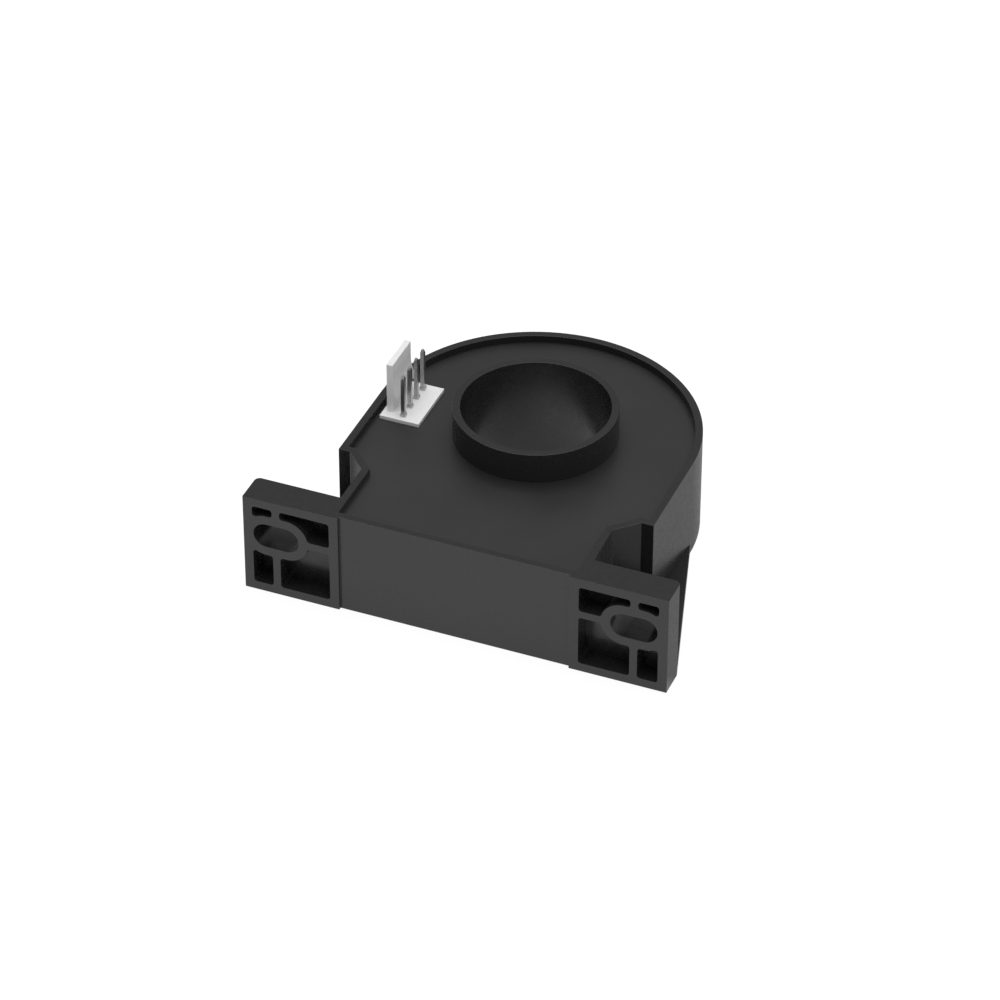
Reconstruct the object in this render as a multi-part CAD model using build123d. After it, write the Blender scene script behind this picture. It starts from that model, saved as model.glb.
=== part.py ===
from build123d import *
import math
import os

# Hall effect current sensor: a moulded cup with a round aperture, two slotted feet and a
# four-way pin header, potted over a gapped ring core and its circuit board.
# The origin is on the aperture axis in the rear face. +Z points out of the open side that
# the resin fills, and -Y points at the mounting face of the feet. Sizes are millimetres.

# Aperture tube
aperture_diameter = 22.9
tube_wall = 1.2
tube_projection = 5.0

# Cup
core_space = 11.45
body_depth = 16.9
wall_thickness = 1.2
rear_wall_thickness = 1.5
side_wall_reach = 16.6
shoulder_step = 1.9
shoulder_size = 3.3
mounting_distance = 32.8
panel_setback = 0.5
resin_recess = 1.2

# Mounting feet and their gussets
slot_spacing = 56.9
slot_end_distance = 5.3
foot_neck_overlap = 1.75
foot_thickness = 5.15
foot_corner_radius = 0.9
foot_rim = 1.5
foot_rib = 1.25
foot_skin = 1.7
pocket_corner_radius = 0.45
slot_height = 10.5
slot_length = 7.3
slot_width = 4.1
slot_boss_wall = 1.55
gusset_thickness = 1.8

# Ledges inside the cup that carry the circuit board and centre the core
ledge_angles = (35, 90, 145)
ledge_width = 2.0
ledge_reach = 1.75
corner_post_radius = 1.8
corner_post_inset = 1.2

# Pin header
pin_count = 4
pin_pitch = 2.54
pin_size = 0.64
pin_height = 7.35
pin_tip_height = 0.6
pin_tip_taper = 14
pin_collar_size = 0.86
pin_collar_height = 0.45
pin_tail = 1.5
pin_row_inset = 3.45
header_width = 6.45
header_height = 3.2
header_stand = 0.6
header_centre_y = -0.4
header_corner_clearance = 0.23
lock_wall_length = 7.15
lock_wall_thickness = 1.0
lock_wall_height = 8.55
lock_wall_inset = 0.6
lock_nose_depth = 0.65
lock_nose_height = 2.5
lock_nose_land = 0.3
lock_ramp_height = 3.6

# Circuit board
board_thickness = 1.6
board_edge_clearance = 0.3
board_tube_clearance = 0.5
solder_foot_width = 0.45
solder_neck_width = 0.1
solder_height = 0.7
solder_sides = 8

# Ring core and the hall element in its gap
core_tube_clearance = 1.45
core_ledge_clearance = 0.3
core_pin_clearance = 0.9
hall_width = 5.2
hall_height = 3.0
hall_thickness = 1.5
hall_chamfer = 0.35
hall_gap_clearance = 0.25
hall_lead_count = 4
hall_lead_pitch = 1.27
hall_lead_size = 0.4
lead_stub = 0.9

# Amplifier chip
amplifier_length = 4.9
amplifier_width = 3.9
amplifier_height = 1.4
amplifier_standoff = 0.2
amplifier_lead_count = 8
amplifier_lead_pitch = 1.27
amplifier_lead_width = 0.42
amplifier_lead_thickness = 0.2
amplifier_lead_reach = 1.05
amplifier_x = 6.2
amplifier_inset = 5.4

# Gain and offset trimmers
trimmer_size = 3.0
trimmer_height = 1.0
rotor_diameter = 2.2
rotor_height = 0.5
rotor_slot_length = 1.5
rotor_slot_width = 0.4
rotor_slot_depth = 0.25
trimmer_count = 2
trimmer_clearance = 0.6
trimmer_x = -3.9
trimmer_inset = 5.4

# Supply capacitors
capacitor_length = 3.5
capacitor_width = 2.8
capacitor_height = 1.9
capacitor_tab_length = 0.3
capacitor_tab_width = 2.2
capacitor_tab_height = 0.4
capacitor_wall_clearance = 1.2
capacitor_inset = 5.2

# Chip resistors, chip capacitors and diodes on top of the board
chip_length = 2.0
chip_width = 1.25
resistor_height = 0.5
ceramic_height = 0.9
terminal_length = 0.4
terminal_step = 0.05
resistor_count = 6
resistor_pitch = 3.0
resistor_inset = 1.4
ceramic_spacing = 8.4
ceramic_inset = 9.6
diode_length = 2.7
diode_width = 1.6
diode_height = 1.1
diode_tab_length = 0.5
diode_tab_width = 0.7
diode_tab_height = 0.25
diode_count = 2
diode_pitch = 3.6
diode_wall_clearance = 1.5

# Widths that follow from the sizes above
body_width = aperture_diameter + 2 * (tube_wall + core_space + wall_thickness)
neck_width = body_width - 2 * (shoulder_step + shoulder_size)
foot_clear_width = neck_width - 2 * foot_neck_overlap
foot_span = slot_spacing + 2 * slot_end_distance

# Radii and places that follow from the sizes above
aperture_radius = aperture_diameter / 2
tube_radius = aperture_radius + tube_wall
body_radius = body_width / 2
cup_inner_radius = body_radius - wall_thickness
neck_x = neck_width / 2
shoulder_y = -side_wall_reach - shoulder_size
mounting_y = -mounting_distance
panel_y = mounting_y + panel_setback
panel_inner_y = panel_y + wall_thickness
foot_inner_x = foot_clear_width / 2
foot_outer_x = foot_span / 2
foot_back_y = mounting_y + foot_thickness
slot_x = slot_spacing / 2

# Levels along the aperture axis
resin_level = body_depth - resin_recess
tube_top = resin_level + tube_projection
plate_top = resin_level + header_stand
board_top = plate_top - header_height
board_bottom = board_top - board_thickness
core_bottom = rear_wall_thickness
core_top = board_bottom - pin_tail - core_pin_clearance

# Core radii, from the tube on the inside and the ledges on the outside
ledge_radius = cup_inner_radius - ledge_reach
core_inner_radius = tube_radius + core_tube_clearance
core_outer_radius = ledge_radius - core_ledge_clearance
core_mid_radius = (core_inner_radius + core_outer_radius) / 2
core_mid_z = (core_bottom + core_top) / 2

# Header plan: the far corner of its base clears the round wall of the cup
header_length = pin_count * pin_pitch
header_far_y = header_centre_y + header_length / 2
header_outer_x = -math.sqrt((cup_inner_radius - header_corner_clearance) ** 2 - header_far_y ** 2)
header_inner_x = header_outer_x + header_width
pin_x = header_outer_x + pin_row_inset
pin_places = [
    (pin_x, header_centre_y + (i - (pin_count - 1) / 2) * pin_pitch) for i in range(pin_count)
]

# Plan of what stands on or hangs under the board
board_front_y = panel_inner_y + board_edge_clearance
trimmer_spacing = trimmer_size + trimmer_clearance
capacitor_reach = capacitor_length / 2 + capacitor_tab_length
capacitor_x = neck_x - wall_thickness - capacitor_wall_clearance - capacitor_reach
ceramic_x_places = (-ceramic_spacing / 2, ceramic_spacing / 2, capacitor_x)
hall_lead_places = [
    (0, -core_mid_radius + (i - (hall_lead_count - 1) / 2) * hall_lead_pitch)
    for i in range(hall_lead_count)
]


def block(low, high):
    """Box from its lowest corner to its highest corner."""
    size = [top - bottom for bottom, top in zip(low, high)]
    return Pos(*low) * Box(*size, align=(Align.MIN, Align.MIN, Align.MIN))


def prism(plan, bottom, top):
    """Plan face raised between two levels."""
    return extrude(Pos(0, 0, bottom) * plan, amount=top - bottom, dir=(0, 0, 1))


def disc(x, y, radius, bottom, top):
    """Round post between two levels."""
    return prism(Pos(x, y) * Circle(radius), bottom, top)


def square_post(x, y, size, bottom, top):
    """Square post between two levels."""
    return prism(Pos(x, y) * Rectangle(size, size), bottom, top)


def both_sides(right):
    """A right-hand piece and its mirror image."""
    return right + mirror(right, about=Plane.YZ)


def cup_outline():
    """Plan of the cup: half round, side walls, chamfered shoulders and a straight neck."""
    right = [
        (body_radius, 0),
        (body_radius, -side_wall_reach),
        (neck_x + shoulder_size, -side_wall_reach),
        (neck_x, shoulder_y),
        (neck_x, panel_y),
    ]
    left = [(-x, y) for x, y in reversed(right)]
    return make_face([*Polyline(*right, *left).edges(), CenterArc((0, 0), body_radius, 0, 180)])


def cavity_outline(inset=0.0):
    """Plan of the inside of the cup, or of what fits in it with a clearance."""
    return offset(cup_outline(), amount=-wall_thickness - inset, kind=Kind.INTERSECTION)


def foot_block():
    """Right foot before its relief is cut, rounded at its outer back edge."""
    foot = block((foot_inner_x, mounting_y, 0), (foot_outer_x, foot_back_y, body_depth))
    outer_edges = foot.edges().filter_by(Axis.Z).group_by(Axis.X)[-1]
    return fillet(outer_edges.sort_by(Axis.Y)[-1], foot_corner_radius)


def slot_plan(margin=0.0):
    """Screw slot, or the boss round it, on the mounting face."""
    return Pos(slot_x, slot_height) * SlotOverall(slot_length + 2 * margin, slot_width + 2 * margin)


def pocket_plan():
    """Recesses between the rim, the slot boss and the ribs of the right foot."""
    left = foot_inner_x + foot_rim
    right = foot_outer_x - foot_rim
    middle = body_depth / 2
    area = Pos((left + right) / 2, middle) * Rectangle(right - left, body_depth - 2 * foot_rim)
    upright_rib = Pos(slot_x, middle) * Rectangle(foot_rib, body_depth)
    level_rib = Pos((left + slot_x) / 2, slot_height) * Rectangle(slot_x - left, foot_rib)
    recess = area - slot_plan(slot_boss_wall) - upright_rib - level_rib
    corners_cut = offset(recess, amount=-pocket_corner_radius, kind=Kind.INTERSECTION)
    return offset(corners_cut, amount=pocket_corner_radius, kind=Kind.ARC)


def foot_relief():
    """What is cut out of the right foot: the recesses and the slot that goes right through."""
    mounting_face = Plane((0, mounting_y, 0), x_dir=(1, 0, 0), z_dir=(0, -1, 0))
    recesses = extrude(mounting_face * pocket_plan(), amount=-(foot_thickness - foot_skin))
    slot = extrude(mounting_face * slot_plan(), amount=-foot_thickness)
    return recesses + slot


def gusset():
    """Web from the right foot to the side wall, tangent to the rounded corner of the foot."""
    centre = Vector(foot_outer_x - foot_corner_radius, foot_back_y - foot_corner_radius)
    far_point = Vector(body_radius, 0)
    reach = far_point - centre
    turn = math.acos(foot_corner_radius / reach.length)
    heading = math.atan2(reach.Y, reach.X) - turn
    tangent = centre + Vector(math.cos(heading), math.sin(heading)) * foot_corner_radius
    inner_x = neck_x - wall_thickness
    plan = make_face(Polyline(
        (centre.X, centre.Y), (tangent.X, tangent.Y), (far_point.X, far_point.Y),
        (inner_x, 0), (inner_x, centre.Y), close=True,
    ))
    return prism(plan, 0, gusset_thickness)


def board_ledges():
    """Ribs up the round wall and posts in the neck's corners, level with the board's underside."""
    ledges = []
    for angle in ledge_angles:
        outer = cup_inner_radius + wall_thickness / 2
        rib = block(
            (ledge_radius, -ledge_width / 2, rear_wall_thickness / 2),
            (outer, ledge_width / 2, board_bottom),
        )
        ledges.append(Rot(0, 0, angle) * rib)
    post_x = neck_x - wall_thickness - corner_post_inset
    post_y = panel_inner_y + corner_post_inset
    post = disc(post_x, post_y, corner_post_radius, rear_wall_thickness / 2, board_bottom)
    return [*ledges, post, mirror(post, about=Plane.YZ)]


def housing():
    """Cup, tube, feet and gussets, moulded in one."""
    shell = prism(cup_outline(), 0, body_depth) + both_sides(foot_block()) + both_sides(gusset())
    shell -= prism(cavity_outline(), rear_wall_thickness, body_depth)
    shell += board_ledges()
    shell += disc(0, 0, tube_radius, 0, tube_top)
    shell -= disc(0, 0, aperture_radius, 0, tube_top)
    return shell - both_sides(foot_relief())


def flux_core():
    """Ring core with an air gap, on the side of the mounting face."""
    ring = Circle(core_outer_radius) - Circle(core_inner_radius)
    gap_width = hall_thickness + 2 * hall_gap_clearance
    gap = Pos(0, -core_mid_radius) * Rectangle(gap_width, 2 * (core_outer_radius - core_inner_radius))
    return prism(ring - gap, core_bottom, core_top)


def hall_element():
    """Moulded package of the hall element, which stands in the middle of the gap."""
    package = Pos(0, -core_mid_radius, core_mid_z) * Box(hall_thickness, hall_width, hall_height)
    face_edges = package.faces().sort_by(Axis.X)[-1].edges()
    return chamfer(face_edges, hall_chamfer)


def hall_lead(place):
    """Lead of the hall element, from its package up through the board."""
    package_top = core_mid_z + hall_height / 2
    return square_post(*place, hall_lead_size, package_top, board_top + lead_stub)


def circuit_board(leads):
    """Board round the tube, closed round each lead that passes through it."""
    plan = cavity_outline(board_edge_clearance) - Circle(tube_radius + board_tube_clearance)
    return prism(plan, board_bottom, board_top) - leads


def solder_joint(place, size, level, rise):
    """Solder that narrows up or down a square lead from the face of the board."""
    corner = size * math.sqrt(2) / 2
    foot = Pos(*place, level) * RegularPolygon(corner + solder_foot_width, solder_sides)
    neck = Pos(*place, level + rise) * RegularPolygon(corner + solder_neck_width, solder_sides)
    low, high = sorted((level, level + rise))
    return loft([foot, neck]) - square_post(*place, size, low, high)


def solder_joints():
    """Joints of the header's pins under the board, and of the hall element's leads on top."""
    under = [solder_joint(place, pin_size, board_bottom, -solder_height) for place in pin_places]
    on_top = [solder_joint(p, hall_lead_size, board_top, solder_height) for p in hall_lead_places]
    return under + on_top


def header_pin(place):
    """Square pin with a tapered tip and a collar where it leaves the base."""
    top = plate_top + pin_height
    post = square_post(*place, pin_size, board_bottom - pin_tail, top - pin_tip_height)
    collar = square_post(*place, pin_collar_size, plate_top, plate_top + pin_collar_height)
    tip_base = Pos(*place, top - pin_tip_height) * Rectangle(pin_size, pin_size)
    tip = extrude(tip_base, amount=pin_tip_height, dir=(0, 0, 1), taper=pin_tip_taper)
    return post + collar + tip


def lock_wall():
    """Upright wall of the header, with the ramped nose that grips the mating plug."""
    thick = lock_wall_thickness
    nose_x = thick + lock_nose_depth
    land_z = lock_nose_height - lock_nose_land
    outside = Polyline(
        (thick, 0), (0, 0), (0, lock_wall_height), (thick, lock_wall_height),
        (thick, lock_nose_height + lock_ramp_height),
    )
    ramp = TangentArc(
        (thick, lock_nose_height + lock_ramp_height), (nose_x, lock_nose_height), tangent=(0, -1)
    )
    underside = Polyline(
        (nose_x, lock_nose_height), (nose_x, land_z), (thick, land_z - lock_nose_land), (thick, 0)
    )
    profile = make_face([*outside.edges(), ramp.edge(), *underside.edges()])
    start = (header_outer_x + lock_wall_inset, header_centre_y + lock_wall_length / 2, plate_top)
    return extrude(Plane(start, x_dir=(1, 0, 0), z_dir=(0, -1, 0)) * profile, amount=lock_wall_length)


def header_base(pins):
    """Base of the header and its lock wall, moulded round the pins."""
    near_y = header_centre_y - header_length / 2
    base = block((header_outer_x, near_y, board_top), (header_inner_x, header_far_y, plate_top))
    return base + lock_wall() - pins


def amplifier_body():
    """Moulded package of the amplifier chip."""
    centre_y = board_front_y + amplifier_inset
    bottom = board_top + amplifier_standoff
    plan = Pos(amplifier_x, centre_y) * Rectangle(amplifier_length, amplifier_width)
    return prism(plan, bottom, bottom + amplifier_height)


def amplifier_lead(number):
    """Gull-wing lead, from half way up the package down to the board."""
    per_side = amplifier_lead_count // 2
    side = 1 if number < per_side else -1
    step = number % per_side - (per_side - 1) / 2
    thick = amplifier_lead_thickness
    exit_z = amplifier_standoff + amplifier_height / 2
    knee = amplifier_lead_reach / 2
    profile = make_face(Polyline(
        (0, exit_z), (knee, exit_z), (knee, thick), (amplifier_lead_reach, thick),
        (amplifier_lead_reach, 0), (knee - thick, 0), (knee - thick, exit_z - thick),
        (0, exit_z - thick), close=True,
    ))
    centre_y = board_front_y + amplifier_inset
    start = (
        amplifier_x + step * amplifier_lead_pitch - side * amplifier_lead_width / 2,
        centre_y + side * amplifier_width / 2,
        board_top,
    )
    stand = Plane(start, x_dir=(0, side, 0), z_dir=(side, 0, 0))
    return extrude(stand * profile, amount=amplifier_lead_width)


def trimmer_place(number):
    """Plan centre of a trimmer."""
    return trimmer_x - number * trimmer_spacing, board_front_y + trimmer_inset


def trimmer_base(number):
    """Square base of a trimmer."""
    x, y = trimmer_place(number)
    return square_post(x, y, trimmer_size, board_top, board_top + trimmer_height)


def trimmer_rotor(number):
    """Round rotor of a trimmer, with a cross slot for the adjusting tool."""
    x, y = trimmer_place(number)
    bottom = board_top + trimmer_height
    top = bottom + rotor_height
    rotor = disc(x, y, rotor_diameter / 2, bottom, top)
    arm = Rectangle(rotor_slot_length, rotor_slot_width)
    cross = Pos(x, y) * (arm + Rot(0, 0, 90) * arm)
    return rotor - prism(cross, top - rotor_slot_depth, top)


def tabbed_part(x, y, body, tab):
    """Moulded block with a flat tab at each end, from their length, width and height."""
    block_part = prism(Pos(x, y) * Rectangle(*body[:2]), board_top, board_top + body[2])
    tabs = Pos(x, y) * Rectangle(body[0] + 2 * tab[0], tab[1])
    return block_part + prism(tabs, board_top, board_top + tab[2])


def supply_capacitor(side):
    """Moulded capacitor on the left or right of the neck."""
    body = (capacitor_length, capacitor_width, capacitor_height)
    tab = (capacitor_tab_length, capacitor_tab_width, capacitor_tab_height)
    return tabbed_part(side * capacitor_x, board_front_y + capacitor_inset, body, tab)


def chip_part(x, y, height):
    """Chip resistor or capacitor: a block between two slightly larger terminals."""
    body = Pos(x, y) * Rectangle(chip_length - 2 * terminal_step, chip_width - 2 * terminal_step)
    chip = prism(body, board_top, board_top + height - terminal_step)
    for end in (-1, 1):
        centre_x = x + end * (chip_length - terminal_length) / 2
        terminal = Pos(centre_x, y) * Rectangle(terminal_length, chip_width)
        chip += prism(terminal, board_top, board_top + height)
    return chip


def resistor(number):
    """Chip resistor in the row along the front edge of the board."""
    x = (number - (resistor_count - 1) / 2) * resistor_pitch
    return chip_part(x, board_front_y + resistor_inset, resistor_height)


def ceramic_capacitor(x):
    """Chip capacitor in the row behind the amplifier chip."""
    return chip_part(x, board_front_y + ceramic_inset, ceramic_height)


def protection_diode(number):
    """Moulded diode with two flat tabs, between the header and the shoulder of the cup."""
    x = (header_outer_x + header_inner_x) / 2
    first_y = -side_wall_reach + wall_thickness + diode_wall_clearance + diode_width / 2
    body = (diode_length, diode_width, diode_height)
    tab = (diode_tab_length, diode_tab_width, diode_tab_height)
    return tabbed_part(x, first_y + number * diode_pitch, body, tab)


def resin_fill(cup, sunk_pieces):
    """Cast resin: the inside of the cup up to its level, less everything that stands in it."""
    cast = prism(cavity_outline(), rear_wall_thickness, resin_level)
    return cast - [cup, *sunk_pieces, disc(0, 0, aperture_radius, 0, tube_top)]


def numbered(name, pieces):
    """Node names for a run of like pieces."""
    return {f"{name}_{number}": piece for number, piece in enumerate(pieces, start=1)}


def sensor():
    """All pieces of the sensor, by node name."""
    pins = [header_pin(place) for place in pin_places]
    hall_leads = [hall_lead(place) for place in hall_lead_places]
    nodes = {
        "flux_core": flux_core(),
        "hall_element": hall_element(),
        **numbered("hall_lead", hall_leads),
        "circuit_board": circuit_board([*pins, *hall_leads]),
        "header_base": header_base(pins),
        **numbered("header_pin", pins),
        "amplifier_body": amplifier_body(),
        **numbered("amplifier_lead", [amplifier_lead(i) for i in range(amplifier_lead_count)]),
        **numbered("trimmer_base", [trimmer_base(i) for i in range(trimmer_count)]),
        **numbered("trimmer_rotor", [trimmer_rotor(i) for i in range(trimmer_count)]),
        **numbered("supply_capacitor", [supply_capacitor(side) for side in (-1, 1)]),
        **numbered("resistor", [resistor(i) for i in range(resistor_count)]),
        **numbered("ceramic_capacitor", [ceramic_capacitor(x) for x in ceramic_x_places]),
        **numbered("protection_diode", [protection_diode(i) for i in range(diode_count)]),
    }
    joints = solder_joints()
    cup = housing()
    resin = resin_fill(cup, [*nodes.values(), *joints])
    return {"housing": cup, "resin_fill": resin, **nodes, "solder_joints": Compound(joints)}


os.makedirs("parts", exist_ok=True)
for node_name, node_shape in sensor().items():
    export_step(node_shape, f"parts/{node_name}.step")
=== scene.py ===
"""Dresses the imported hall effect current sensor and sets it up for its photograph.

The sensor lies on its rear face on a white table. Everything is in metres, in the row frame:
the origin is on the aperture's axis in the rear face, +Z comes out of the side that the resin
fills and -Y points at the mounting face of the feet.
"""
import logging
import math
from dataclasses import dataclass, field
from enum import Enum
from typing import Any

import bpy
from mathutils import Matrix, Vector

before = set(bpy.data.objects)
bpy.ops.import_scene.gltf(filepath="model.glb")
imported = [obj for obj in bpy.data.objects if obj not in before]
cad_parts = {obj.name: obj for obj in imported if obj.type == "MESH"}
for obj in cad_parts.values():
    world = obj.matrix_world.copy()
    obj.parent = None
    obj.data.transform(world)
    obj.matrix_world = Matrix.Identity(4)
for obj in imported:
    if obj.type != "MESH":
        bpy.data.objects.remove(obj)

LOG = logging.getLogger("sensor")
MM = 0.001
MICRON = 1e-6

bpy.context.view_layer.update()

# A noise keeps between these levels nearly everywhere, so patterns are stretched from them.
NOISE_LOW, NOISE_HIGH = 0.3, 0.7

# Finer layers of noise in the clouds, in the uneven gloss and in the bump.
CLOUD_LAYERS, GLOSS_LAYERS, BUMP_LAYERS = 2.0, 3.0, 1.0

# A blot of uneven gloss is this many grains wide.
GRAINS_PER_BLOT = 4


class Slot(Enum):
    """Material slots of the record, by the piece they finish."""

    HOUSING = "housing_plastic"
    RESIN = "potting_resin"
    HEADER = "header_nylon"
    PIN = "tinned_pin"
    CORE = "ferrite"
    BOARD = "board_laminate"
    PACKAGE = "chip_package"
    LEAD = "component_lead"
    SOLDER = "solder"
    TRIMMER_BASE = "trimmer_base"
    TRIMMER_ROTOR = "trimmer_rotor"
    CAPACITOR = "moulded_capacitor"
    RESISTOR = "chip_resistor"
    CERAMIC = "chip_ceramic"


class Direction(Enum):
    """Way in which drawing or grinding has left its lines, as the stretch of a pattern."""

    NONE = (1.0, 1.0, 1.0)
    ALONG_Z = (1.0, 1.0, 0.04)


def linear(hex_colour: str) -> tuple[float, float, float, float]:
    """Turns an sRGB colour to linear light.

    Args:
        hex_colour: colour as six hex digits after a hash.

    Returns:
        Red, green, blue and an alpha of 1.
    """
    channels = [int(hex_colour[i:i + 2], 16) / 255 for i in (1, 3, 5)]
    toned = [c / 12.92 if c <= 0.04045 else ((c + 0.055) / 1.055) ** 2.4 for c in channels]
    return (*toned, 1.0)


def add_node(
    tree: bpy.types.NodeTree,
    kind: str,
    settings: dict[str | int, Any] | None = None,
    links: dict[str | int, bpy.types.NodeSocket] | None = None,
) -> bpy.types.Node:
    """Adds a node, sets it and links it.

    Args:
        tree: node tree that gets the node.
        kind: type of the node, as Blender names it.
        settings: values by the name or number of an input, or by the name of a property.
        links: output sockets by the name or number of the input that they feed.

    Returns:
        The new node.
    """
    node = tree.nodes.new(kind)
    for key, value in (settings or {}).items():
        if isinstance(key, int) or key in node.inputs:
            node.inputs[key].default_value = value
        else:
            setattr(node, key, value)
    for key, socket in (links or {}).items():
        tree.links.new(socket, node.inputs[key])
    return node


@dataclass(frozen=True)
class Finish:
    """A material and how its surface was made.

    The surface has a fine grain, which gives bump and uneven gloss, and broad soft clouds, which
    shade its colour a little. The gloss and the shade swing that much to either side, and light
    sinks as deep as sink_mm into the material before it comes out again.
    """

    name: str
    colour: str
    roughness: float
    ior: float = 1.5
    metallic: float = 0.0
    grain_mm: float = 0.15
    grain_depth_um: float = 2.0
    grain_gloss: float = 0.04
    cloud_mm: float = 9.0
    cloud_shade: float = 0.06
    sink_mm: float = 0.0
    direction: Direction = Direction.NONE

    def make(self) -> bpy.types.Material:
        """Builds the material.

        Returns:
            The finished material, with its colour, gloss and bump from nodes.
        """
        material = bpy.data.materials.new(self.name)
        material.use_nodes = True
        tree = material.node_tree
        tree.nodes.clear()
        place = add_node(tree, "ShaderNodeTexCoord").outputs["Object"]
        stretch = add_node(
            tree, "ShaderNodeMapping", {"Scale": self.direction.value}, {"Vector": place}
        ).outputs["Vector"]
        settings: dict[str, Any] = {"Metallic": self.metallic}
        if not self.metallic:
            settings["IOR"] = self.ior
        if self.sink_mm:
            settings |= {
                "Subsurface Weight": 1.0,
                "Subsurface Radius": (1.0, 1.0, 1.0),
                "Subsurface Scale": self.sink_mm * MM,
            }
        shader = add_node(
            tree,
            "ShaderNodeBsdfPrincipled",
            settings,
            {
                "Base Color": self.colour_socket(tree, place),
                "Roughness": self.gloss_socket(tree, stretch),
                "Normal": self.bump_socket(tree, stretch),
            },
        )
        add_node(tree, "ShaderNodeOutputMaterial", {}, {"Surface": shader.outputs["BSDF"]})
        return material

    def noise(
        self, tree: bpy.types.NodeTree, place: bpy.types.NodeSocket, size_mm: float, layers: float
    ) -> bpy.types.NodeSocket:
        """Adds a noise whose blots have a real size.

        Args:
            tree: node tree of the material.
            place: position on the surface, in metres.
            size_mm: width of a blot.
            layers: number of finer layers.

        Returns:
            The noise, from 0 to 1.
        """
        settings = {"Scale": 1 / (size_mm * MM), "Detail": layers}
        return add_node(tree, "ShaderNodeTexNoise", settings, {"Vector": place}).outputs[0]

    def spread(
        self, tree: bpy.types.NodeTree, noise: bpy.types.NodeSocket, low: float, high: float
    ) -> bpy.types.NodeSocket:
        """Stretches a noise between two values.

        Args:
            tree: node tree of the material.
            noise: socket from 0 to 1.
            low: value at the noise's lower end.
            high: value at the noise's upper end.

        Returns:
            The stretched value.
        """
        settings = {
            "From Min": NOISE_LOW,
            "From Max": NOISE_HIGH,
            "To Min": low,
            "To Max": high,
        }
        return add_node(tree, "ShaderNodeMapRange", settings, {"Value": noise}).outputs["Result"]

    def colour_socket(
        self, tree: bpy.types.NodeTree, place: bpy.types.NodeSocket
    ) -> bpy.types.NodeSocket:
        """Colour, shaded by the clouds.

        Args:
            tree: node tree of the material.
            place: position on the surface, in metres.

        Returns:
            The colour socket.
        """
        clouds = self.noise(tree, place, self.cloud_mm, CLOUD_LAYERS)
        red, green, blue, alpha = linear(self.colour)
        stops = ((NOISE_LOW, 1 - self.cloud_shade), (NOISE_HIGH, 1 + self.cloud_shade))
        ramp = add_node(tree, "ShaderNodeValToRGB", {}, {"Fac": clouds})
        for element, (level, shade) in zip(ramp.color_ramp.elements, stops):
            element.position = level
            element.color = (red * shade, green * shade, blue * shade, alpha)
        return ramp.outputs["Color"]

    def gloss_socket(
        self, tree: bpy.types.NodeTree, place: bpy.types.NodeSocket
    ) -> bpy.types.NodeSocket:
        """Roughness, uneven by the grain.

        Args:
            tree: node tree of the material.
            place: position on the surface, stretched along the finish's lines.

        Returns:
            The roughness socket.
        """
        grain = self.noise(tree, place, self.grain_mm * GRAINS_PER_BLOT, GLOSS_LAYERS)
        low, high = self.roughness - self.grain_gloss, self.roughness + self.grain_gloss
        return self.spread(tree, grain, low, high)

    def bump_socket(
        self, tree: bpy.types.NodeTree, place: bpy.types.NodeSocket
    ) -> bpy.types.NodeSocket:
        """Bump of the grain.

        Args:
            tree: node tree of the material.
            place: position on the surface, stretched along the finish's lines.

        Returns:
            The normal socket.
        """
        grain = self.noise(tree, place, self.grain_mm, BUMP_LAYERS)
        settings = {"Distance": self.grain_depth_um * MICRON}
        return add_node(tree, "ShaderNodeBump", settings, {"Height": grain}).outputs["Normal"]


# Moulded in a spark-eroded tool: an even satin black that mirrors the table faintly and softly.
# The real grain is under 0.1 mm, too fine to show, so it is drawn 0.3 mm wide.
GLASS_FILLED_PBT = Finish(
    name="pbt_black_injection_moulded",
    colour="#252525",
    roughness=0.26,
    ior=1.5,
    grain_mm=0.3,
    grain_depth_um=0.35,
)

# Poured and cured level: the same black as the cup, a little duller, with very slow waves.
POTTING_EPOXY = Finish(
    name="epoxy_black_cast",
    colour="#222222",
    roughness=0.39,
    ior=1.55,
    grain_mm=2.5,
    grain_depth_um=3.0,
    cloud_mm=14.0,
)

# Moulded unfilled: milky white, light sinks in a little and softens the small forms.
HEADER_NYLON = Finish(
    name="nylon_white_injection_moulded",
    colour="#EFEFEF",
    roughness=0.4,
    ior=1.53,
    grain_mm=0.1,
    grain_depth_um=0.8,
    cloud_shade=0.01,
    sink_mm=0.08,
)

# Drawn brass wire, tin plated: bright metal with fine lines along the pin. The real lines are
# finer than a hair, so they are drawn 0.05 mm wide.
TINNED_BRASS = Finish(
    name="brass_wire_tin_plated",
    colour="#B6B6B6",
    roughness=0.3,
    metallic=1.0,
    grain_mm=0.05,
    grain_depth_um=0.6,
    cloud_mm=1.0,
    direction=Direction.ALONG_Z,
)

# Pressed, fired and ground: dark grey ceramic with open pores.
SINTERED_FERRITE = Finish(
    name="ferrite_sintered_ground",
    colour="#3C3C3E",
    roughness=0.55,
    ior=2.2,
    grain_mm=0.2,
    grain_depth_um=6.0,
    cloud_mm=3.0,
    cloud_shade=0.12,
)

# Pressed from woven glass and epoxy, with a green solder lacquer over it.
LACQUERED_LAMINATE = Finish(
    name="glass_laminate_green_lacquer",
    colour="#0F5A34",
    roughness=0.25,
    ior=1.52,
    grain_mm=0.45,
    grain_depth_um=5.0,
    cloud_mm=2.0,
    cloud_shade=0.1,
)

# Transfer moulded with much silica: dull black with a sandy grain.
MOULDED_EPOXY = Finish(
    name="epoxy_black_transfer_moulded",
    colour="#2A2A2A",
    roughness=0.6,
    ior=1.55,
    grain_mm=0.08,
    grain_depth_um=3.0,
)

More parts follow.
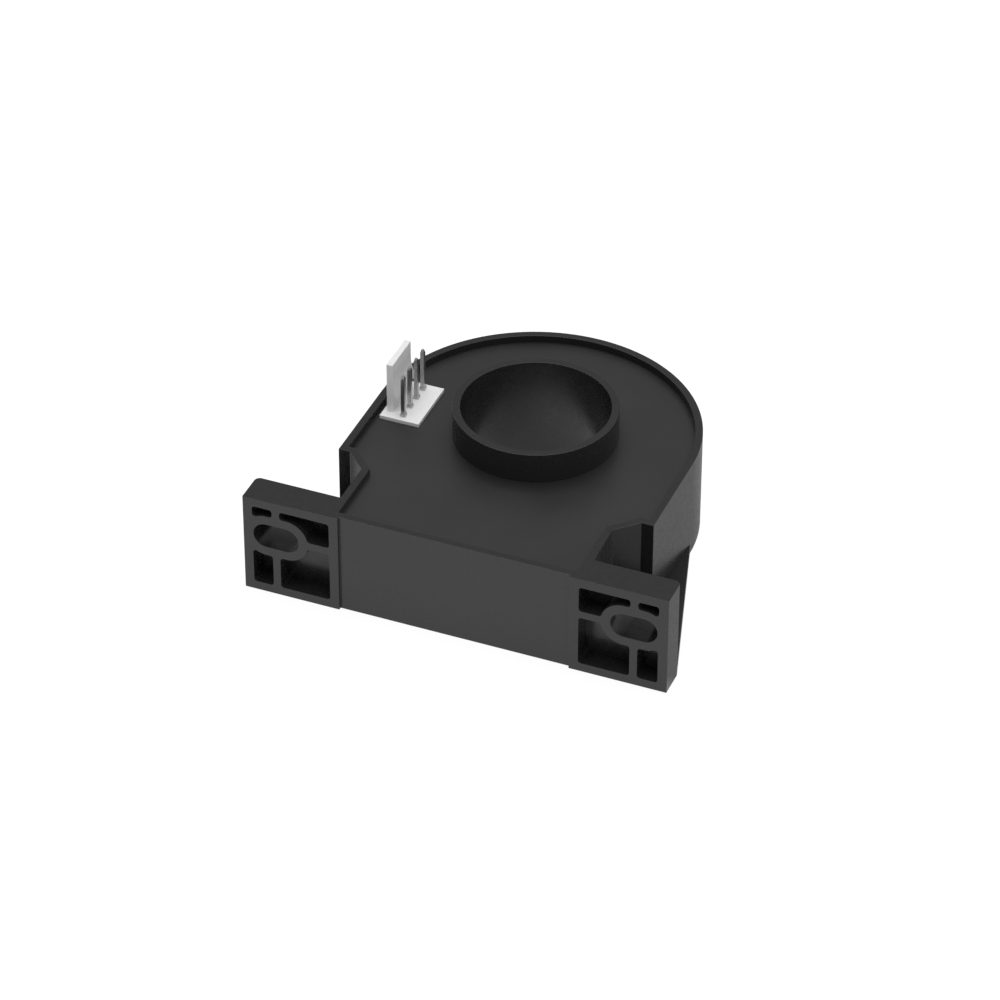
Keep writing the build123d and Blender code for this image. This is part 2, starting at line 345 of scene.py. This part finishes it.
# Stamped copper alloy with matt tin: pale grey metal.
STAMPED_TINNED_COPPER = Finish(
    name="copper_alloy_tin_plated",
    colour="#C4C3BF",
    roughness=0.35,
    metallic=1.0,
    grain_mm=0.06,
    grain_depth_um=0.8,
    cloud_mm=0.8,
)

# Flowed and frozen tin alloy: bright, with a faint frost.
WAVE_SOLDER = Finish(
    name="tin_alloy_solder_flowed",
    colour="#CCCCCE",
    roughness=0.22,
    metallic=1.0,
    grain_mm=0.2,
    grain_depth_um=2.0,
    cloud_mm=0.6,
)

# Moulded thermoplastic of the trimmers' bases: mid blue, satin.
TRIMMER_PLASTIC = Finish(
    name="pps_blue_injection_moulded", colour="#2A4E93", roughness=0.45, ior=1.6, grain_mm=0.1
)

# Moulded thermoplastic of the trimmers' rotors: off-white, smooth.
ROTOR_PLASTIC = Finish(
    name="pom_white_injection_moulded", colour="#DEDDD6", roughness=0.35, ior=1.48, grain_mm=0.1
)

# Moulded epoxy of the tantalum capacitors: ochre yellow, dull.
CAPACITOR_EPOXY = Finish(
    name="epoxy_yellow_transfer_moulded", colour="#C58A26", roughness=0.5, ior=1.55, grain_mm=0.1
)

# Thick-film resistor: black glaze on alumina.
RESISTOR_GLAZE = Finish(
    name="alumina_black_glazed", colour="#1B1B1C", roughness=0.3, ior=1.6, grain_mm=0.1
)

# Fired layered ceramic: tan, like fine earthenware.
CHIP_CERAMIC = Finish(
    name="titanate_ceramic_fired", colour="#9A7B58", roughness=0.5, ior=2.0, grain_mm=0.1
)


@dataclass
class Dresser:
    """Gives CAD nodes their finish, and a small edge break where a mould or tool leaves one."""

    edge_angle: float = math.radians(30)
    flat_angle: float = math.radians(0.1)
    weld_gap: float = 0.1 * MICRON
    break_segments: int = 2
    shading: bpy.types.NodeTree = field(init=False)

    def __post_init__(self) -> None:
        """Makes the group of nodes that shades round faces smooth and keeps sharp edges."""
        self.shading = bpy.data.node_groups.new("shade_by_angle", "GeometryNodeTree")
        for way in ("INPUT", "OUTPUT"):
            self.shading.interface.new_socket(
                "Geometry", in_out=way, socket_type="NodeSocketGeometry"
            )
        mesh = add_node(self.shading, "NodeGroupInput").outputs["Geometry"]
        angle = add_node(self.shading, "GeometryNodeInputMeshEdgeAngle").outputs["Unsigned Angle"]
        sharp = add_node(
            self.shading,
            "ShaderNodeMath",
            {"operation": "GREATER_THAN", 1: self.edge_angle},
            {0: angle},
        ).outputs[0]
        shaded = add_node(
            self.shading,
            "GeometryNodeSetMeshNormal",
            {"mode": "SHARPNESS", "Remove Custom": True},
            {"Mesh": mesh, "Edge Sharpness": sharp},
        ).outputs["Mesh"]
        add_node(self.shading, "NodeGroupOutput", {}, {"Geometry": shaded})

    def dress(
        self, nodes: list[str], finish: Finish, slot: Slot, edge_break: float = 0.0
    ) -> None:
        """Dresses a group of nodes.

        Args:
            nodes: names of the CAD nodes.
            finish: finish that they all share.
            slot: the record's material slot; not used.
            edge_break: width of the broken edges, in metres, or 0 for none.
        """
        material = finish.make()
        for name in nodes:
            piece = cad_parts[name]
            piece.data.materials.clear()
            piece.data.materials.append(material)
            if edge_break:
                self.break_edges(piece, edge_break)
            LOG.info("dressed %s with %s", name, finish.name)

    def break_edges(self, piece: bpy.types.Object, width: float) -> None:
        """Adds the modifiers that break a piece's sharp edges.

        Args:
            piece: the CAD object.
            width: width of the broken edge, in metres.
        """
        weld = piece.modifiers.new("joined_faces", "WELD")
        weld.merge_threshold = self.weld_gap
        flats = piece.modifiers.new("whole_flat_faces", "DECIMATE")
        flats.decimate_type = "DISSOLVE"
        flats.angle_limit = self.flat_angle
        bevel = piece.modifiers.new("edge_break", "BEVEL")
        bevel.width = width
        bevel.segments = self.break_segments
        bevel.limit_method = "ANGLE"
        bevel.angle_limit = self.edge_angle
        bevel.use_clamp_overlap = False
        shading = piece.modifiers.new("shading", "NODES")
        shading.node_group = self.shading
        weights = piece.modifiers.new("even_normals", "WEIGHTED_NORMAL")
        weights.keep_sharp = True


@dataclass
class Housing:
    """Moulded cup with its tube, feet and gussets."""

    dresser: Dresser
    edge_break: float = 0.08 * MM

    def build(self) -> None:
        """Dresses the moulding."""
        self.dresser.dress(["housing"], GLASS_FILLED_PBT, Slot.HOUSING, self.edge_break)


@dataclass
class Potting:
    """Cast resin that fills the cup."""

    dresser: Dresser

    def build(self) -> None:
        """Dresses the resin."""
        self.dresser.dress(["resin_fill"], POTTING_EPOXY, Slot.RESIN)


@dataclass
class PinHeader:
    """White header with its lock wall and four pins."""

    dresser: Dresser
    pins: int = 4
    base_edge_break: float = 0.06 * MM
    pin_edge_break: float = 0.04 * MM

    def build(self) -> None:
        """Dresses the base and the pins."""
        self.dresser.dress(["header_base"], HEADER_NYLON, Slot.HEADER, self.base_edge_break)
        names = [f"header_pin_{i}" for i in range(1, self.pins + 1)]
        self.dresser.dress(names, TINNED_BRASS, Slot.PIN, self.pin_edge_break)


@dataclass
class InnerParts:
    """What lies under the resin: core, hall element, board and its parts."""

    dresser: Dresser
    finishes: dict[str, tuple[Finish, Slot]] = field(default_factory=lambda: {
        "flux_core": (SINTERED_FERRITE, Slot.CORE),
        "hall_element": (MOULDED_EPOXY, Slot.PACKAGE),
        "hall_lead": (STAMPED_TINNED_COPPER, Slot.LEAD),
        "circuit_board": (LACQUERED_LAMINATE, Slot.BOARD),
        "amplifier_body": (MOULDED_EPOXY, Slot.PACKAGE),
        "amplifier_lead": (STAMPED_TINNED_COPPER, Slot.LEAD),
        "trimmer_base": (TRIMMER_PLASTIC, Slot.TRIMMER_BASE),
        "trimmer_rotor": (ROTOR_PLASTIC, Slot.TRIMMER_ROTOR),
        "supply_capacitor": (CAPACITOR_EPOXY, Slot.CAPACITOR),
        "resistor": (RESISTOR_GLAZE, Slot.RESISTOR),
        "ceramic_capacitor": (CHIP_CERAMIC, Slot.CERAMIC),
        "protection_diode": (MOULDED_EPOXY, Slot.PACKAGE),
        "solder_joints": (WAVE_SOLDER, Slot.SOLDER),
    })

    def members(self, stem: str) -> list[str]:
        """Names of the nodes that are the stem, alone or with a number after it."""
        return [name for name in sorted(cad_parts) if name.rstrip("0123456789_") == stem]

    def build(self) -> None:
        """Dresses each group of inner nodes."""
        for stem, (finish, slot) in self.finishes.items():
            self.dresser.dress(self.members(stem), finish, slot)


@dataclass(frozen=True)
class PaintedShadowFall:
    """Painted shadow on the table's glow: a soft fall of its level along one way, from a near
    level to a far one.
    """

    way: tuple[float, float, float]
    start: float
    end: float
    near: float
    far: float

    def socket(
        self, tree: bpy.types.NodeTree, place: bpy.types.NodeSocket
    ) -> bpy.types.NodeSocket:
        """Adds the painted shadow's fall to a material.

        Args:
            tree: node tree of the material.
            place: position on the table, in metres.

        Returns:
            The level at that position.
        """
        along = add_node(
            tree, "ShaderNodeVectorMath", {"operation": "DOT_PRODUCT", 1: self.way}, {0: place}
        ).outputs["Value"]
        settings = {
            "From Min": self.start,
            "From Max": self.end,
            "To Min": self.near,
            "To Max": self.far,
            "interpolation_type": "SMOOTHSTEP",
        }
        return add_node(tree, "ShaderNodeMapRange", settings, {"Value": along}).outputs["Result"]


@dataclass
class Studio:
    """White table, soft room light and one overhead softbox.

    To the camera the table is white: its glow, and a share of plain paint that keeps the shadow.
    In reflections its glow carries a painted shadow: it is bright in front of the feet and
    painted darker beside the sensor, where the sensor's shadow would fall, and painted darker
    inside the aperture, where the tube shades the table. The room's slope is how much the room's
    level rises towards +X, +Y and +Z.
    """

    floor_radius: float = 4.0
    floor_drop: float = 0.01 * MM
    floor_corners: int = 96
    floor_white: str = "#F4F4F4"
    glow: float = 0.88
    shadow_paint: float = 0.2
    # Painted shadow of the sensor: the glow seen in reflections is bright in front of the feet
    # and dim beside the sensor.
    open_painted_shadow: PaintedShadowFall = PaintedShadowFall(
        way=(0.2, 0.98, 0.0), start=-26.5 * MM, end=-20.5 * MM, near=0.855, far=0.255
    )
    # Painted shade of the tube on the table's glow inside the aperture, seen in reflections:
    # darker towards the right.
    aperture_painted_shade: PaintedShadowFall = PaintedShadowFall(
        way=(0.9, 0.43, 0.0), start=-8 * MM, end=6 * MM, near=0.87, far=0.46
    )
    aperture_radius: float = 12 * MM
    room_level: float = 0.43
    room_slope: tuple[float, float, float] = (0.25, 0.07, 0.0)
    softbox_size: float = 1.4
    softbox_place: tuple[float, float, float] = (0.0, 0.0, 1.2)
    softbox_power: float = 13.0

    def build(self) -> None:
        """Builds the table, the room and the lamp."""
        self.build_floor()
        self.build_room()
        self.build_softbox()

    def build_floor(self) -> None:
        """Builds the table: white to the camera, and it keeps the sensor's shadow."""
        mesh = bpy.data.meshes.new("table")
        ring = [
            (
                self.floor_radius * math.cos(2 * math.pi * i / self.floor_corners),
                self.floor_radius * math.sin(2 * math.pi * i / self.floor_corners),
                -self.floor_drop,
            )
            for i in range(self.floor_corners)
        ]
        mesh.from_pydata(ring, [], [tuple(range(self.floor_corners))])
        floor = bpy.data.objects.new("table", mesh)
        bpy.context.scene.collection.objects.link(floor)
        mesh.materials.append(self.floor_material())
        LOG.info("built the table")

    def mirrored_painted_shadow_level(self, tree: bpy.types.NodeTree) -> bpy.types.NodeSocket:
        """Adds the table's level in reflections, with its painted shadow.

        Args:
            tree: node tree of the table's material.

        Returns:
            The level: one painted shadow inside the aperture, and another outside it.
        """
        place = add_node(tree, "ShaderNodeTexCoord").outputs["Object"]
        radius = add_node(
            tree, "ShaderNodeVectorMath", {"operation": "LENGTH"}, {0: place}
        ).outputs["Value"]
        inside = add_node(
            tree,
            "ShaderNodeMath",
            {"operation": "LESS_THAN", 1: self.aperture_radius},
            {0: radius},
        ).outputs[0]
        # Numbers 2 and 3 of a Mix node are the two numbers that it mixes.
        return add_node(
            tree,
            "ShaderNodeMix",
            {"data_type": "FLOAT"},
            {
                0: inside,
                2: self.open_painted_shadow.socket(tree, place),
                3: self.aperture_painted_shade.socket(tree, place),
            },
        ).outputs[0]

    def floor_material(self) -> bpy.types.Material:
        """Makes the table's white.

        Returns:
            A diffuse white, with a glow of its own for camera, glossy and transmission rays. For
            glossy rays the glow carries a painted shadow.
        """
        material = bpy.data.materials.new("table_white_painted")
        material.use_nodes = True
        tree = material.node_tree
        tree.nodes.clear()
        path = add_node(tree, "ShaderNodeLightPath").outputs
        seen = path["Is Camera Ray"]
        for name in ("Is Glossy Ray", "Is Transmission Ray"):
            seen = add_node(
                tree, "ShaderNodeMath", {"operation": "MAXIMUM"}, {0: seen, 1: path[name]}
            ).outputs[0]
        paint = add_node(
            tree, "ShaderNodeBsdfDiffuse", {"Color": linear(self.floor_white)}
        ).outputs[0]
        faint = add_node(
            tree, "ShaderNodeBsdfDiffuse", {"Color": (*(self.shadow_paint,) * 3, 1.0)}
        ).outputs[0]
        # Glossy rays see the glow with its painted shadow; camera and transmission rays see it
        # even.
        strength = add_node(
            tree,
            "ShaderNodeMix",
            {"data_type": "FLOAT", 2: self.glow},
            {0: path["Is Glossy Ray"], 3: self.mirrored_painted_shadow_level(tree)},
        ).outputs[0]
        glow = add_node(tree, "ShaderNodeEmission", {}, {"Strength": strength}).outputs[0]
        white = add_node(tree, "ShaderNodeAddShader", {}, {0: faint, 1: glow}).outputs[0]
        mix = add_node(tree, "ShaderNodeMixShader", {}, {0: seen, 1: paint, 2: white}).outputs[0]
        add_node(tree, "ShaderNodeOutputMaterial", {}, {"Surface": mix})
        return material

    def build_room(self) -> None:
        """Builds the room's light: pale all round, brighter to the right of the sensor."""
        world = bpy.data.worlds.new("room")
        bpy.context.scene.world = world
        world.use_nodes = True
        tree = world.node_tree
        tree.nodes.clear()
        place = add_node(tree, "ShaderNodeTexCoord").outputs["Generated"]
        rise = add_node(
            tree,
            "ShaderNodeVectorMath",
            {"operation": "DOT_PRODUCT", 1: self.room_slope},
            {0: place},
        ).outputs["Value"]
        level = add_node(
            tree, "ShaderNodeMath", {"operation": "ADD", 1: self.room_level}, {0: rise}
        ).outputs[0]
        light = add_node(tree, "ShaderNodeBackground", {}, {"Strength": level}).outputs[0]
        add_node(tree, "ShaderNodeOutputWorld", {}, {"Surface": light})

    def build_softbox(self) -> None:
        """Hangs the softbox over the sensor."""
        lamp = bpy.data.lights.new("softbox", "AREA")
        lamp.size = self.softbox_size
        lamp.energy = self.softbox_power
        holder = bpy.data.objects.new("softbox", lamp)
        holder.location = self.softbox_place
        bpy.context.scene.collection.objects.link(holder)
        LOG.info("hung the softbox")


@dataclass
class PhotoCamera:
    """The photograph's camera, as its angles and place were worked out from the picture."""

    position: Vector = field(default_factory=lambda: Vector((207.652, -526.531, 424.676)) * MM)
    azimuth: float = math.radians(22.069)
    elevation: float = math.radians(36.687)
    roll: float = math.radians(0.117)
    lens_mm: float = 165.99
    sensor_mm: float = 36.0

    def build(self) -> None:
        """Places the camera and makes it the scene's."""
        data = bpy.data.cameras.new("photo_camera")
        data.lens = self.lens_mm
        data.sensor_width = self.sensor_mm
        camera = bpy.data.objects.new("photo_camera", data)
        bpy.context.scene.collection.objects.link(camera)
        turn = (
            Matrix.Rotation(self.azimuth, 4, "Z")
            @ Matrix.Rotation(math.pi / 2 - self.elevation, 4, "X")
            @ Matrix.Rotation(self.roll, 4, "Z")
        )
        camera.matrix_world = Matrix.Translation(self.position) @ turn
        bpy.context.scene.camera = camera
        LOG.info("placed the camera")


def main() -> None:
    """Builds the sensor's sub-assemblies, then the studio and the camera."""
    logging.basicConfig(level=logging.INFO, format="%(name)s: %(message)s")
    bpy.context.scene.view_settings.view_transform = "Standard"
    dresser = Dresser()
    for part in (Housing(dresser), Potting(dresser), PinHeader(dresser), InnerParts(dresser)):
        part.build()
    Studio().build()
    PhotoCamera().build()


if __name__ == "__main__":
    main()
